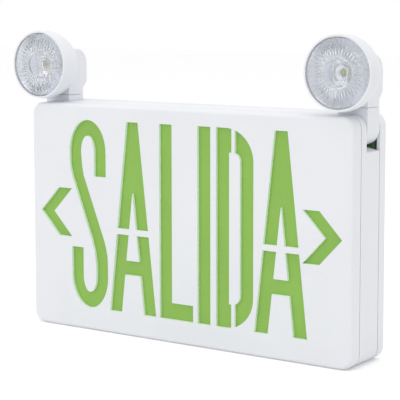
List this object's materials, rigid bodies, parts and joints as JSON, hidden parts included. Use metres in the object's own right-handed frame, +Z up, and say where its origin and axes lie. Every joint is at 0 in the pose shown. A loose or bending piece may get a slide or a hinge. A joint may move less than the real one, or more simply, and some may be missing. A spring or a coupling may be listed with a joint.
{
  "type": "emergency exit light",
  "caption": "Wall-mounted emergency exit sign with a green stencil legend, chevrons and two swivelling lamp heads on corner arms.",
  "frame": {"origin": "centre of the pair of box screw holes, in the plane of the back face that goes against the wall", "axes": "+X to the right of someone reading the sign, +Y into the wall, +Z up"},
  "size_m": [0.3316, 0.0531, 0.242],
  "materials": {
    "white_body": "satin moulded thermoplastic",
    "green_panel": "translucent green sheet",
    "diffuser": "translucent white sheet",
    "led_board_white": "white solder mask",
    "led_chip": "clear over phosphor",
    "led_phosphor": "yellow phosphor under clear dome",
    "battery_can": "sleeved cell",
    "grey_plastic": "moulded nylon",
    "steel": "zinc plated",
    "circuit_board": "green solder mask",
    "core_steel": "varnished laminations",
    "coil_tape": "yellow tape",
    "capacitor_sleeve": "shrink sleeve",
    "relay_case": "moulded case",
    "socket_plastic": "moulded nylon",
    "bushing_rubber": "soft rubber",
    "lead_red": "insulated wire",
    "lead_black": "insulated wire",
    "button_red": "moulded cap",
    "clear_plastic": "clear polycarbonate",
    "reflector_metal": "vacuum metallised",
    "aluminium": "turned"
  },
  "bodies": {
    "housing": {"front_cover": "white_body", "legend_panel": "green_panel", "middle_housing": "white_body", "back_cover": "white_body", "cable_bushing": "bushing_rubber", "status_light_pipe": "clear_plastic", "diffuser_sheet": "diffuser", "light_tray": "white_body", "upper_led_strip": "led_board_white", "lower_led_strip": "led_board_white", "upper_strip_leds": "led_chip", "lower_strip_leds": "led_chip", "battery_cells": "battery_can", "battery_strap": "grey_plastic", "battery_strap_screws": "steel", "charger_board": "circuit_board", "transformer_core": "core_steel", "transformer_coil": "coil_tape", "board_capacitors": "capacitor_sleeve", "relay": "relay_case", "board_sockets": "socket_plastic", "board_screws": "steel", "cover_screws": "steel", "battery_lead_red": "lead_red", "battery_lead_black": "lead_black", "test_switch": "relay_case", "test_board": "circuit_board", "status_led": "led_chip", "pivot_screws": "steel", "friction_washers": "steel"},
    "left_arm_body": {"left_arm": "white_body"},
    "left_lamp": {"left_lamp_shell": "white_body", "left_swivel_stud": "grey_plastic", "left_lens": "clear_plastic", "left_reflector": "reflector_metal", "left_heat_sink": "aluminium", "left_led_board": "led_board_white", "left_led_emitter": "led_phosphor"},
    "right_arm_body": {"right_arm": "white_body"},
    "right_lamp": {"right_lamp_shell": "white_body", "right_swivel_stud": "grey_plastic", "right_lens": "clear_plastic", "right_reflector": "reflector_metal", "right_heat_sink": "aluminium", "right_led_board": "led_board_white", "right_led_emitter": "led_phosphor"},
    "button": {"test_button": "button_red"}
  },
  "joints": [
    {"name": "left_arm_swing", "type": "hinge", "parent": "housing", "child": "left_arm_body", "pos_m": [-0.138, -0.01925, 0.0805], "axis": [0, -1, 0], "range_deg": [0, 90]},
    {"name": "right_arm_swing", "type": "hinge", "parent": "housing", "child": "right_arm_body", "pos_m": [0.138, -0.01925, 0.0805], "axis": [0, 1, 0], "range_deg": [0, 90]},
    {"name": "left_lamp_swivel", "type": "hinge", "parent": "left_arm_body", "child": "left_lamp", "pos_m": [-0.138, -0.01925, 0.0965], "axis": [0, 0, 1], "range_deg": [-75, 75]},
    {"name": "right_lamp_swivel", "type": "hinge", "parent": "right_arm_body", "child": "right_lamp", "pos_m": [0.138, -0.01925, 0.0965], "axis": [0, 0, 1], "range_deg": [-75, 75]},
    {"name": "test_press", "type": "slide", "parent": "housing", "child": "button", "axis": [0, 0, 1], "range_m": [0, 0.0015], "stiffness_N_per_m": 400, "springref_m": -0.0015}
  ]
}
